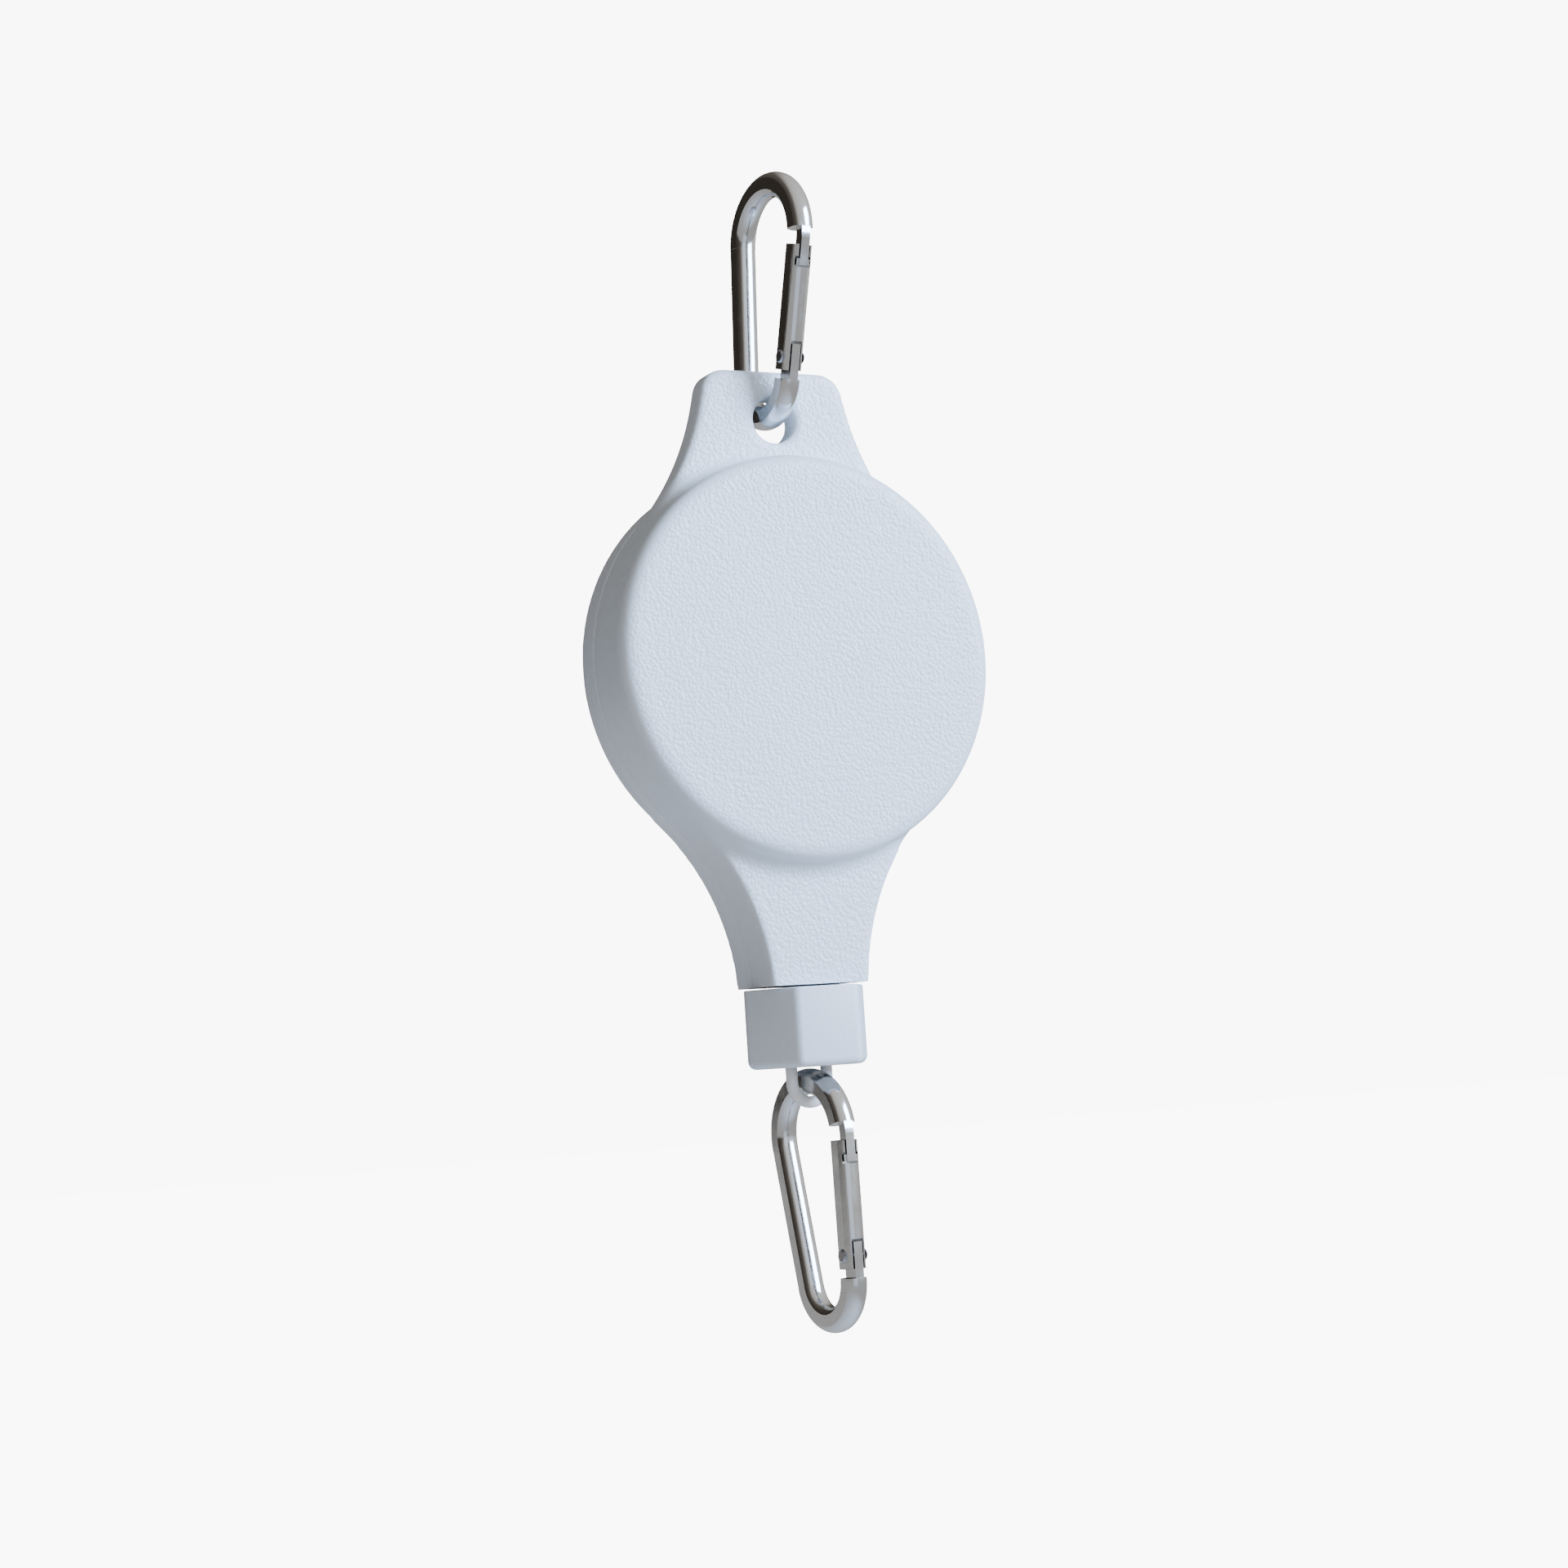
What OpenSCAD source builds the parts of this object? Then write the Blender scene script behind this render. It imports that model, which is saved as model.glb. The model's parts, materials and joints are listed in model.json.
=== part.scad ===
// Retractable hanging reel: a round spring reel with a tab above, a tapered neck below,
// a hexagonal stop block on the line's end, and a snap hook at each end.
// The origin is the hang point, inside the crown of the upper hook.
// +Z is up, the drum's face looks along -Y.

/* [Reel housing] */
// Diameter of the drum
drum_d = 75; // [72:0.5:78]
// Depth of the housing, front face to back face
drum_depth = 20.5; // [20.5:0.1:21]
// Depth of the joint between the front shell and the rear cover
joint_depth = 14; // [14:0.1:14.2]
// Wall thickness
wall = 2; // [1.8:0.1:2]
// Rounding of the drum's front rim
rim_r = 2; // [1:0.1:2]
// Rounding of the drum's back rim
back_rim_r = 1.2; // [0.5:0.1:1.4]

/* [Tab] */
// Height of the tab's top edge over the drum's centre
tab_top = 55; // [54:0.5:56]
// Half width of the tab near its top
tab_half_w = 15.1; // [14.5:0.1:16]
// Height at which that width is measured
tab_width_at = 49; // [48:0.5:50]
// Lean of the tab's sides at that height
tab_lean = 13; // [10:1:15]
// Corner radius of the tab
tab_corner_r = 5; // [3:0.5:6]
// Depth of the tab's front face behind the drum's face
tab_front = 9; // [8.8:0.1:9.2]
// Diameter of the hole in the tab
tab_hole_d = 8.6; // [8.4:0.1:9]
// Height of that hole over the drum's centre
tab_hole_z = 45.7; // [45:0.1:46.5]

/* [Neck] */
// Depth of the neck's front face behind the drum's face
neck_front = 4.9; // [4.6:0.1:5.2]
// Half width of the neck at its lower end
neck_half_w = 9.9; // [9.6:0.1:10.4]
// Height of the neck's lower end, from the drum's centre
neck_end = -59.6; // [-60.5:0.1:-59]
// Depth of the line's way out behind the drum's face
exit_depth = 12.6; // [12.4:0.1:12.8]

/* [Line] */
// Diameter of the line
line_d = 2.2; // [2:0.1:2.2]
// Turns of line side by side on the spool
turns_wide = 3; // [3:1:3]
// Layers of line on the spool
turn_layers = 2; // [1:1:2]

/* [Spool] */
// Radius of the spool's flanges
flange_r = 29.5; // [28:0.5:29.5]
// Radius of the spool's core, where the line starts
core_r = 23; // [22:0.5:23]
// Radius of the spring's room inside the spool
spring_room_r = 20; // [19:0.5:20.5]
// Number of teeth on the ratchet wheel
ratchet_teeth = 12; // [12:1:12]
// Radius of the spindle
spindle_r = 3; // [2.8:0.1:3]

/* [Stop block] */
// Width of the hexagonal block across its flats
block_flats = 21; // [20:0.1:21.5]
// Height of the block
block_h = 14.5; // [14:0.1:15]
// Turn of the block on the line
block_turn = -3; // [-5:0.5:5]

/* [Snap hooks] */
// Length of a hook
hook_len = 48; // [47:0.5:50]
// Width of a hook
hook_w = 25; // [24:0.5:26]
// Diameter of the hook's bar
bar_d = 4.8; // [4.6:0.1:5]
// Thickness of the bar between its two flats
bar_flat = 4.3; // [4.2:0.1:4.4]
// Radius of the narrow end, at the bar's centre
narrow_r = 7.3; // [7:0.1:7.6]
// Turn of both hooks about the vertical
hook_turn = 5.5; // [0:0.5:8]
// Tilt of the upper hook, crown forwards
upper_tilt = 4; // [0:0.5:6]
// Tilt of the lower hook, narrow end forwards
lower_tilt = 13; // [8:0.5:14]

/* [Hidden] */
$fn = 96;
eps = 0.01;

// Snap hook, in its own plane: local x towards the gate, local z up, the crown's centre at 0,0
crown_r = (hook_w - bar_d) / 2;
centre_gap = hook_len - crown_r - narrow_r - bar_d;
narrow_x = narrow_r - crown_r;
centre_span = norm([narrow_x, centre_gap]);
gate_lean = atan(-narrow_x / centre_gap) + asin((crown_r - narrow_r) / centre_span);
gate_foot = [narrow_x + narrow_r * cos(gate_lean), -centre_gap - narrow_r * sin(gate_lean)];
gate_line = sqrt(centre_span * centre_span - pow(crown_r - narrow_r, 2));
bend_lap = 0.3;
straight_less = 0.06;
// Places along the gate's line, from its foot
gate_from = 2;
gate_to = gate_line - 0.8;
body_shoulder = 0.4;
rivet_at = 4.4;
rivet_off = 0.3;
rivet_r = 0.75;
hinge_tongue_to = 6.9;
hinge_slot_to = 7.4;
nose_from = gate_line - 4.6;
tongue_w = 1.8;
bulb_w = 2.8;
bulb_h = 1.2;
slot_play = 0.3;
spring_bore_r = 1.1;
spring_bore_h = 7;

// The reel, placed so that the top of its tab's hole hangs just over the upper hook's narrow end
hook_rest_gap = 0.16;
tab_mid = (tab_front + joint_depth) / 2;
tab_half_t = (joint_depth - tab_front) / 2;
crown_z = -(crown_r - bar_d / 2);
narrow_u = narrow_x * cos(upper_tilt) - centre_gap * sin(upper_tilt);
narrow_w = -narrow_x * sin(upper_tilt) - centre_gap * cos(upper_tilt);
bar_in_hole = [
    narrow_u * sin(hook_turn),
    -narrow_u * cos(hook_turn),
    crown_z + narrow_w - narrow_r
];
inner_rise = sqrt(pow(narrow_r - bar_d / 2, 2) - tab_half_t * tab_half_t);
hole_top_z = crown_z + narrow_w - inner_rise + hook_rest_gap;
drum_x = bar_in_hole[0];
drum_y = bar_in_hole[1] - tab_mid;
drum_z = hole_top_z - tab_hole_d / 2 - tab_hole_z;

// Outline of the housing: a circle with hollow flares to the tab and to the neck
drum_r = drum_d / 2;
neck_flat = 2.4;
neck_flare_z = neck_end - neck_flat;
neck_flare_r = (neck_half_w * neck_half_w + neck_flare_z * neck_flare_z - drum_r * drum_r)
    / (2 * (drum_r - neck_half_w));
neck_flare_x = neck_half_w + neck_flare_r;
tab_reach = tab_half_w * cos(tab_lean) + tab_width_at * sin(tab_lean);
tab_flare_r = (tab_half_w * tab_half_w + tab_width_at * tab_width_at - drum_r * drum_r)
    / (2 * (drum_r - tab_reach));
tab_flare_x = tab_half_w + tab_flare_r * cos(tab_lean);
tab_flare_z = tab_width_at + tab_flare_r * sin(tab_lean);

// Depths inside the drum, measured from its front face
spool_front = 3;
web_t = 1.2;
groove_from = spool_front + web_t;
groove_to = groove_from + turns_wide * line_d + 0.6;
spool_back = groove_to + web_t;
ratchet_back = spool_back + 2.2;
wound_mid = (groove_from + groove_to) / 2;
wound_r = core_r + turn_layers * line_d;
lead_gap = 0.3;
lead_r = wound_r + line_d / 2 + lead_gap;
bush_top = neck_end + 3.4;
bush_r = 3.5;
run_top = neck_end + 4.6;
tangent_a = asin(lead_r / -run_top);
tooth_tip_r = 28;
tooth_root_r = 24.5;
clip_from = ratchet_back + 0.4;
clip_to = clip_from + 0.6;
shell_inner_r = drum_r - wall;
boss_r = 2.5;
screw_r = 1.1;
screw_head_r = 2.1;
screw_ring_r = 33.2;
drum_screws = [35, 145, 215, 325];
neck_screw_x = 6.6;
neck_screw_z = -51.6;
pawl_pivot = [9.5, -36.8];
pawl_nose = [-0.7, -29.7];
pawl_from = spool_back + 0.2;
pawl_to = ratchet_back - 0.2;
pawl_pin_r = 1.2;
pawl_spring_foot = [8.3, -48.2];
pawl_spring_to = pawl_to + 1.6;

// Line end, measured from the drum's centre
block_top = neck_end - 0.4;
block_end = block_top - block_h;
block_r = block_flats / 2 / cos(30);
block_roof = 2.5;
block_bore_r = 5.6;
washer_t = 0.8;
knot_r = 3.2;
knot_z = block_top - block_roof - washer_t - knot_r;
lower_bar_z = block_end - 0.25 - bar_d / 2;
loop_r = bar_d / 2 + 0.3 + line_d / 2;

shell_white = [0.90, 0.92, 0.94];
hook_silver = [0.78, 0.79, 0.80];
steel_grey = [0.55, 0.56, 0.58];
line_white = [0.95, 0.95, 0.93];
acetal_white = [0.86, 0.86, 0.84];

// ---- placing -------------------------------------------------------------------------------

// Children drawn from the drum's centre, with y running back from its front face
module from_drum() {
    translate([drum_x, drum_y, drum_z]) children();
}

// Lays a flat outline, drawn in x and z, between two depths behind the drum's face
module slab(from, to) {
    translate([0, to, 0]) rotate([90, 0, 0]) linear_extrude(to - from) children();
}

// A round bar along y between two depths
module rod(r, from, to) {
    translate([0, to, 0]) rotate([90, 0, 0]) cylinder(r = r, h = to - from);
}

// Places children at every housing screw
module at_screws() {
    for (a = drum_screws)
        translate([screw_ring_r * cos(a), 0, screw_ring_r * sin(a)]) children();
    for (side = [-1, 1])
        translate([side * neck_screw_x, 0, neck_screw_z]) children();
}

module upper_place() {
    translate([0, 0, crown_z]) rotate([0, 0, hook_turn - 90]) rotate([0, upper_tilt, 0]) children();
}

module lower_place() {
    from_drum() translate([0, exit_depth, lower_bar_z - crown_r])
        rotate([0, 0, hook_turn - 90]) rotate([0, -lower_tilt, 0]) children();
}

// ---- snap hook -----------------------------------------------------------------------------

// The bar's section: round, with a flat on each broad side
module bar_section(less = 0) {
    intersection() {
        circle(d = bar_d - less, $fn = 48);
        square([bar_d + 1, bar_flat - less], center = true);
    }
}

module bar_arc(r, from, to) {
    rotate([90, 0, 0]) rotate([0, 0, from]) rotate_extrude(angle = to - from)
        translate([r, 0]) bar_section();
}

// A straight stretch, a hair thinner than the bends that its ends run into
module bar_straight(length) {
    translate([0, 0, -bend_lap]) linear_extrude(length + 2 * bend_lap) bar_section(straight_less);
}

// Children drawn on the gate's line: local z along it, local x outwards
module on_gate_line(s) {
    translate([gate_foot[0], 0, gate_foot[1]]) rotate([0, gate_lean, 0]) translate([0, 0, s]) children();
}

module gate_box(x0, x1, w, z0, z1) {
    on_gate_line(0) translate([x0, -w / 2, z0]) cube([x1 - x0, w, z1 - z0]);
}

module rivet_bore(r) {
    on_gate_line(rivet_at) translate([rivet_off, 0, 0]) rotate([90, 0, 0])
        cylinder(r = r, h = bar_d + 2, center = true, $fn = 32);
}

// The tongue that the nose ends in, half as thick as the bar, with a bulb that locks in the gate's slot
module nose_tongue() {
    inner = 0.2;
    outer = bar_d / 2 - 0.2;
    root = 10;
    rotate([90, 0, 0]) translate([0, 0, -tongue_w / 2]) linear_extrude(tongue_w) intersection() {
        difference() {
            circle(r = crown_r + outer);
            circle(r = crown_r + inner);
        }
        polygon([
            [0, 0],
            [hook_w * cos(gate_lean), -hook_w * sin(gate_lean)],
            [hook_w * cos(root), hook_w * sin(root)]
        ]);
    }
    gate_box(inner, outer, tongue_w, nose_from, gate_line + 0.5);
    gate_box(inner, outer - 0.3, bulb_w, nose_from, nose_from + bulb_h);
}

module hook_body() {
    difference() {
        union() {
            bar_arc(crown_r, 0, 180);
            translate([-crown_r, 0, -centre_gap]) bar_straight(centre_gap);
            translate([narrow_x, 0, -centre_gap]) bar_arc(narrow_r, 180, 360 - gate_lean);
            on_gate_line(-bend_lap) linear_extrude(body_shoulder + bend_lap) bar_section(straight_less);
            gate_box(-1.1, bar_d / 2 - 0.2, tongue_w, -0.6, hinge_tongue_to);
        }
        rivet_bore(rivet_r);
    }
    nose_tongue();
}

module hook_gate() {
    slot_w = tongue_w + 2 * slot_play;
    difference() {
        on_gate_line(gate_from) linear_extrude(gate_to - gate_from) bar_section();
        gate_box(-0.2, bar_d, slot_w, nose_from - 0.4, gate_to + 1);
        gate_box(-0.2, bar_d, bulb_w + 2 * slot_play, nose_from - 0.4, nose_from + bulb_h + 0.4);
        gate_box(-1.5, bar_d, slot_w, gate_from - 1, hinge_slot_to);
        gate_box(-bar_d, bar_d, slot_w, gate_from - 1, rivet_at + 0.8);
        rivet_bore(rivet_r + 0.05);
        on_gate_line(hinge_slot_to - eps) cylinder(r = spring_bore_r, h = spring_bore_h, $fn = 32);
    }
}

module hook_rivet() {
    on_gate_line(rivet_at) translate([rivet_off, 0, 0]) rotate([90, 0, 0]) {
        cylinder(r = rivet_r, h = bar_flat + 0.2, center = true, $fn = 32);
        for (side = [0, 180])
            rotate([side, 0, 0]) translate([0, 0, bar_flat / 2 + 0.06])
                cylinder(r1 = 1.25, r2 = 0.95, h = 0.34, $fn = 32);
    }
}

module gate_spring() {
    on_gate_line(hinge_slot_to + 1.3) rotate_extrude($fn = 32)
        translate([0.55, 0]) square([0.4, spring_bore_h - 1.6]);
}

module gate_plunger() {
    on_gate_line(hinge_slot_to) {
        cylinder(r = 1, h = 1.2, $fn = 32);
        cylinder(r = 0.45, h = 3, $fn = 32);
    }
}

module upper_hook_body() {
    color(hook_silver) upper_place() hook_body();
}

module upper_hook_gate() {
    color(hook_silver) upper_place() hook_gate();
}

module upper_hook_rivet() {
    color(steel_grey) upper_place() hook_rivet();
}

module upper_gate_spring() {
    color(steel_grey) upper_place() gate_spring();
}

module upper_gate_plunger() {
    color(steel_grey) upper_place() gate_plunger();
}

module lower_hook_body() {
    color(hook_silver) lower_place() hook_body();
}

module lower_hook_gate() {
    color(hook_silver) lower_place() hook_gate();
}

module lower_hook_rivet() {
    color(steel_grey) lower_place() hook_rivet();
}

module lower_gate_spring() {
    color(steel_grey) lower_place() gate_spring();
}

module lower_gate_plunger() {
    color(steel_grey) lower_place() gate_plunger();
}

// ---- housing -------------------------------------------------------------------------------

// Neck outline, drawn smaller all round by a margin
module neck_outline(margin) {
    shoulder_z = neck_flare_z * drum_r / (drum_r + neck_flare_r);
    difference() {
        translate([-drum_r, neck_end + margin])
            square([drum_d, shoulder_z - neck_end - margin]);
        for (side = [-1, 1])
            translate([side * neck_flare_x, neck_flare_z]) circle(r = neck_flare_r + margin);
    }
}

// Tab outline, with flared sides and rounded top corners
module tab_outline() {
    shoulder_x = tab_flare_x * drum_r / (drum_r + tab_flare_r);
    corner_x = tab_flare_x - sqrt(pow(tab_flare_r + tab_corner_r, 2)
        - pow(tab_flare_z - tab_top + tab_corner_r, 2));
    difference() {
        union() {
            translate([-shoulder_x, 0]) square([2 * shoulder_x, tab_top - tab_corner_r]);
            translate([-corner_x, 0]) square([2 * corner_x, tab_top]);
            for (side = [-1, 1])
                translate([side * corner_x, tab_top - tab_corner_r]) circle(r = tab_corner_r, $fn = 48);
        }
        for (side = [-1, 1])
            translate([side * tab_flare_x, tab_flare_z]) circle(r = tab_flare_r);
    }
}

module front_shell() {
    color(shell_white) from_drum() difference() {
        union() {
            rotate([-90, 0, 0]) rotate_extrude() difference() {
                square([drum_r, joint_depth]);
                difference() {
                    translate([drum_r - rim_r, -eps]) square([rim_r + 1, rim_r]);
                    translate([drum_r - rim_r, rim_r - eps]) circle(r = rim_r, $fn = 48);
                }
            }
            slab(neck_front, joint_depth) neck_outline(0);
            slab(tab_front, joint_depth) tab_outline();
        }
        difference() {
            union() {
                rod(shell_inner_r, wall, joint_depth + 1);
                slab(neck_front + wall, joint_depth + 1) neck_outline(wall);
            }
            at_screws() rod(boss_r, 0, joint_depth);
            rod(2 * spindle_r, 0, wall + 0.8);
        }
        rod(spindle_r, wall - 1, joint_depth);
        at_screws() rod(screw_r, neck_front + wall + 1.5, joint_depth + 1);
        translate([0, 0, tab_hole_z]) rod(tab_hole_d / 2, 0, joint_depth + 1);
        translate([0, exit_depth, neck_end - 1]) cylinder(r = bush_r, h = wall + 1.2 + 1);
    }
}

module rear_cover() {
    color(shell_white) from_drum() difference() {
        union() {
            rotate([-90, 0, 0]) rotate_extrude() difference() {
                translate([0, joint_depth]) square([drum_r, drum_depth - joint_depth]);
                difference() {
                    translate([drum_r - back_rim_r, drum_depth - back_rim_r])
                        square([back_rim_r + 1, back_rim_r + eps]);
                    translate([drum_r - back_rim_r, drum_depth - back_rim_r])
                        circle(r = back_rim_r, $fn = 48);
                }
            }
            slab(joint_depth, drum_depth) neck_outline(0);
        }
        difference() {
            union() {
                rod(shell_inner_r, joint_depth - 1, drum_depth - wall);
                slab(joint_depth - 1, drum_depth - wall) neck_outline(wall);
            }
            at_screws() rod(boss_r, joint_depth, drum_depth);
            rod(spindle_r + 2, clip_to + 0.1, drum_depth);
            translate([pawl_pivot[0], 0, pawl_pivot[1]]) rod(pawl_pin_r + 1.6, pawl_to + 0.3, drum_depth);
            translate([pawl_spring_foot[0] - 2.42, pawl_to + 0.3, pawl_spring_foot[1]])
                cube([2.4, drum_depth, 2.4]);
        }
        rod(spindle_r, joint_depth, drum_depth - wall - 0.5);
        translate([pawl_pivot[0], 0, pawl_pivot[1]]) rod(pawl_pin_r, joint_depth, drum_depth - wall - 0.5);
        at_screws() rod(screw_r + 0.2, joint_depth - 1, drum_depth + 1);
        at_screws() rod(screw_head_r + 0.1, drum_depth - 1.6, drum_depth + 1);
        translate([0, exit_depth, neck_end - 1]) cylinder(r = bush_r, h = wall + 1.2 + 1);
    }
}

module housing_screws() {
    color(steel_grey) from_drum() at_screws() difference() {
        union() {
            rod(screw_r, neck_front + wall + 2, drum_depth - 1.6 + eps);
            rod(screw_head_r, drum_depth - 1.6, drum_depth - 0.2);
        }
        for (turn = [0, 90])
            translate([0, drum_depth - 0.6, 0]) rotate([0, turn, 0]) cube([2.4, 1.2, 0.6], center = true);
    }
}

// The smooth bush that the line leaves through, gripped between the two shells
module line_guide_bush() {
    mouth = 0.5;
    bore_r = line_d / 2 + 0.3;
    color(acetal_white) from_drum() translate([0, exit_depth, 0]) rotate_extrude() difference() {
        union() {
            translate([0, neck_end]) square([bush_r, bush_top - neck_end]);
            translate([0, neck_end + wall + 0.1]) square([bush_r + 1.2, bush_top - neck_end - wall - 0.1]);
        }
        translate([-1, neck_end - 1]) square([1 + bore_r, bush_top - neck_end + 2]);
        polygon([
            [bore_r - eps, neck_end - eps],
            [bore_r + mouth, neck_end - eps],
            [bore_r - eps, neck_end + mouth]
        ]);
    }
}

// ---- spring reel ---------------------------------------------------------------------------

module spindle() {
    color(steel_grey) from_drum() difference() {
        rod(spindle_r, wall - 1, drum_depth - wall - 0.5);
        difference() {
            rod(spindle_r + 1, clip_from, clip_to);
            rod(spindle_r - 0.4, clip_from - 1, clip_to + 1);
        }
        translate([-0.4, groove_from + 0.4, 0])
            cube([0.8, spool_back - groove_from - 0.8, spindle_r + 1]);
    }
}

module retaining_clip() {
    color(steel_grey) from_drum() difference() {
        rod(spindle_r + 1.8, clip_from, clip_to);
        rod(spindle_r - 0.4, clip_from - 1, clip_to + 1);
        translate([-1.9, clip_from - 1, 0]) cube([3.8, clip_to - clip_from + 2, spindle_r + 3]);
    }
}

// A flat spring wound in a spiral between the spindle and the spool
module mainspring() {
    strip = 0.4;
    turns = 7;
    steps = 20;
    inner = 4.2;
    outer = spring_room_r - 1;
    count = turns * steps;
    function spiral(i, side) = let (a = 360 * i / steps, r = inner + (outer - inner) * i / count + side)
        [r * cos(a), r * sin(a)];
    color(steel_grey) from_drum() slab(groove_from + 0.6, spool_back - 0.6) polygon(concat(
        [for (i = [0 : count]) spiral(i, 0)],
        [for (i = [count : -1 : 0]) spiral(i, strip)]
    ));
}

module line_spool() {
    color(acetal_white) from_drum() rotate([-90, 0, 0]) rotate_extrude() {
        translate([spindle_r + 0.05, spool_front]) square([flange_r - spindle_r - 0.05, web_t]);
        translate([spring_room_r, spool_front]) square([core_r - spring_room_r, spool_back - spool_front]);
        translate([spring_room_r, groove_to]) square([flange_r - spring_room_r, web_t]);
    }
}

// Closes the spring's room and carries the teeth, whose steep sides face the way the line winds in
module ratchet_wheel() {
    pitch = 360 / ratchet_teeth;
    root_share = 0.45;
    root_steps = 4;
    outline = [for (i = [0 : ratchet_teeth - 1]) each concat(
        [for (k = [0 : root_steps]) let (a = pitch * (i - 1 + root_share * k / root_steps))
            tooth_root_r * [cos(a), sin(a)]],
        [tooth_tip_r * [cos(pitch * i), sin(pitch * i)]]
    )];
    color(acetal_white) from_drum() slab(spool_back, ratchet_back) difference() {
        polygon(outline);
        circle(r = spindle_r + 0.05);
    }
}

// The line stored on the spool, as one closed ring
module wound_line() {
    color(line_white) from_drum() rotate([-90, 0, 0]) rotate_extrude()
        translate([core_r, wound_mid - turns_wide * line_d / 2])
            square([wound_r - core_r, turns_wide * line_d]);
}

// The line's slanting way from the winding to the bush
module line_lead() {
    from = [lead_r * cos(tangent_a), wound_mid, -lead_r * sin(tangent_a)];
    to = [0, exit_depth, run_top];
    sides = 8;
    // Straight off the winding, then a short bend down into the bush
    bend = from + (to - from) * 0.92;
    path = [from, from + (to - from) * 0.3, from + (to - from) * 0.6, bend, to];
    heading = [to - from, to - from, to - from, (to - from) / norm(to - from) + [0, 0, -1], [0, 0, -1]];
    function ring(i) = let (
        d = heading[i] / norm(heading[i]),
        across = cross(d, [0, 1, 0]) / norm(cross(d, [0, 1, 0])),
        up = cross(across, d)
    ) [for (k = [0 : sides - 1]) path[i]
        + line_d / 2 * (cos(360 * k / sides) * across + sin(360 * k / sides) * up)];
    points = [for (i = [0 : len(path) - 1]) each ring(i)];
    walls = [for (i = [0 : len(path) - 2]) for (k = [0 : sides - 1]) let (j = (k + 1) % sides)
        [i * sides + k, i * sides + j, (i + 1) * sides + j, (i + 1) * sides + k]];
    first = [for (k = [sides - 1 : -1 : 0]) k];
    last = [for (k = [0 : sides - 1]) (len(path) - 1) * sides + k];
    color(line_white) from_drum() polyhedron(points, concat([first], walls, [last]));
}

// ---- ratchet pawl --------------------------------------------------------------------------

// Rests clear of the ratchet. Turned in, its nose blocks the teeth from winding the line back
module pawl() {
    reach = pawl_nose - pawl_pivot;
    length = norm(reach);
    hub_r = 2.8;
    tail = 4.2;
    tail_half_w = 1.2;
    hub_arc = function (from, to) [for (a = [from : 15 : to]) hub_r * [cos(a), sin(a)]];
    outline = concat(
        [[length - 0.4, 1.1]],
        hub_arc(60, 150),
        [[-tail, tail_half_w], [-tail, -tail_half_w]],
        hub_arc(210, 300),
        [[length - 2.2, -1.1], [length, -0.9]]
    );
    color(acetal_white) from_drum() slab(pawl_from, pawl_to) translate(pawl_pivot) difference() {
        rotate(atan2(reach[1], reach[0])) polygon(outline);
        circle(r = pawl_pin_r + 0.05, $fn = 48);
    }
}

module pawl_pin() {
    color(steel_grey) from_drum() translate([pawl_pivot[0], 0, pawl_pivot[1]])
        rod(pawl_pin_r, pawl_from - 0.6, drum_depth - wall - 0.5);
}

// A bent strip, its foot held against a post, that swings the pawl's tail back out of the ratchet
module pawl_spring() {
    strip = 0.4;
    foot_h = 2.8;
    color(steel_grey) from_drum() slab(pawl_from + 0.2, pawl_spring_to) translate(pawl_spring_foot) polygon([
        [0, 0], [strip, 0], [strip, foot_h], [2.05, 6.45],
        [1.4, 7.7], [1.05, 7.5], [1.6, 6.45], [0, foot_h + 0.1]
    ]);
}

// ---- line end ------------------------------------------------------------------------------

// The stretch of line that pays out, from above the bush to the knot
module line_run() {
    color(line_white) from_drum() translate([0, exit_depth, knot_z + knot_r - 0.1])
        cylinder(r = line_d / 2, h = run_top - knot_z - knot_r + 0.1, $fn = 32);
}

module stop_washer() {
    color(steel_grey) from_drum() translate([0, exit_depth, 0]) rotate_extrude()
        translate([line_d / 2 + 0.1, block_top - block_roof - washer_t - 0.05])
            square([block_bore_r - line_d / 2 - 0.6, washer_t]);
}

module line_knot() {
    color(line_white) from_drum() translate([0, exit_depth, knot_z - 0.1]) difference() {
        sphere(r = knot_r, $fn = 48);
        translate([0, 0, knot_r - 0.1]) cylinder(r = line_d, h = 1);
    }
}

// The loop below the knot that carries the lower hook
module line_loop() {
    legs_top = knot_z - knot_r * 0.5;
    color(line_white) from_drum() translate([0, exit_depth, lower_bar_z]) rotate([0, 0, hook_turn])
    difference() {
        union() {
            rotate([90, 0, 0]) rotate([0, 0, 180]) rotate_extrude(angle = 180)
                translate([loop_r, 0]) circle(r = line_d / 2, $fn = 32);
            for (side = [-1, 1])
                translate([side * loop_r, 0, 0])
                    cylinder(r = line_d / 2, h = legs_top - lower_bar_z, $fn = 32);
            translate([-loop_r, -line_d / 2, legs_top - lower_bar_z - line_d])
                cube([2 * loop_r, line_d, line_d]);
        }
        translate([0, 0, knot_z - 0.1 - lower_bar_z]) sphere(r = knot_r, $fn = 48);
    }
}

module stop_block() {
    edge = 1.2;
    color(shell_white) from_drum() translate([0, exit_depth, 0]) difference() {
        intersection() {
            translate([0, 0, block_end]) rotate([0, 0, block_turn])
                cylinder(r = block_r, h = block_h, $fn = 6);
            rotate_extrude() difference() {
                translate([0, block_end]) square([block_r + 1, block_h]);
                translate([block_r - edge, block_end - edge]) rotate(45)
                    square([3 * edge, 1.4 * edge], center = true);
            }
        }
        translate([0, 0, block_end - 1]) cylinder(r = block_bore_r, h = block_h - block_roof + 1);
        translate([0, 0, block_end]) cylinder(r = line_d / 2 + 0.3, h = block_h + 1);
    }
}

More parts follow.
